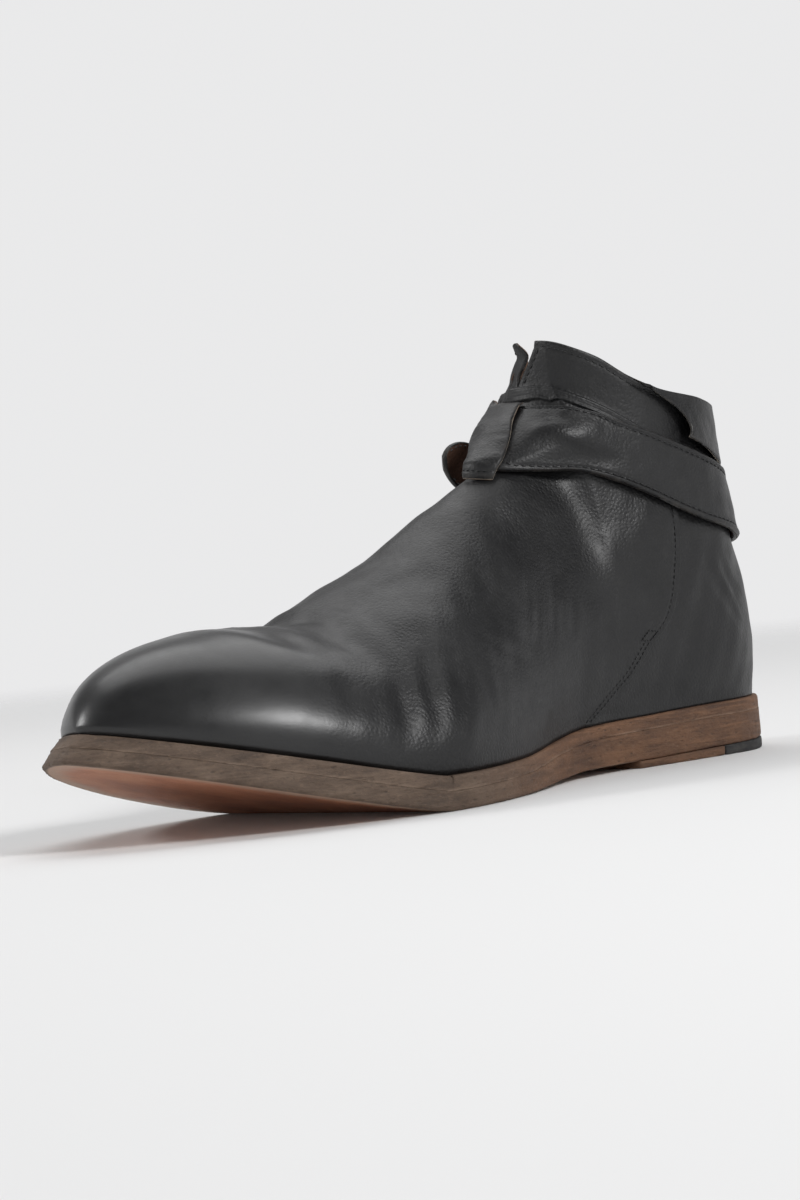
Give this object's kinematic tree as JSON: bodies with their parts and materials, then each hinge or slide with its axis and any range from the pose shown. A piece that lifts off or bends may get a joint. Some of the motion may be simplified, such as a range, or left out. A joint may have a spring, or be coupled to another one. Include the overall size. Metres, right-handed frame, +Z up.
{
  "type": "ankle boot",
  "caption": "Low leather ankle boot with a hollow upper, raised toe, flat leather sole, rubber heel tip, back collar piece, wrap strap and keeper.",
  "frame": {"origin": "centre of the bounding box in plan, on the ground under the sole", "axes": "+X to the toe, +Y to the wearer's left, the outer side of the foot, +Z up"},
  "size_m": [0.2998, 0.1048, 0.1468],
  "materials": {
    "black_leather": "soft polished",
    "sole_leather": "matte, waxed and scuffed",
    "lining_leather": "matte",
    "heel_rubber": "matte"
  },
  "bodies": {
    "root": {"outsole": "sole_leather", "midsole": "sole_leather", "heel_lift": "sole_leather", "heel_rubber_tip": "heel_rubber", "insole": "lining_leather", "upper": "black_leather", "back_collar_piece": "black_leather", "wrap_strap": "black_leather", "strap_keeper": "black_leather"}
  },
  "joints": []
}
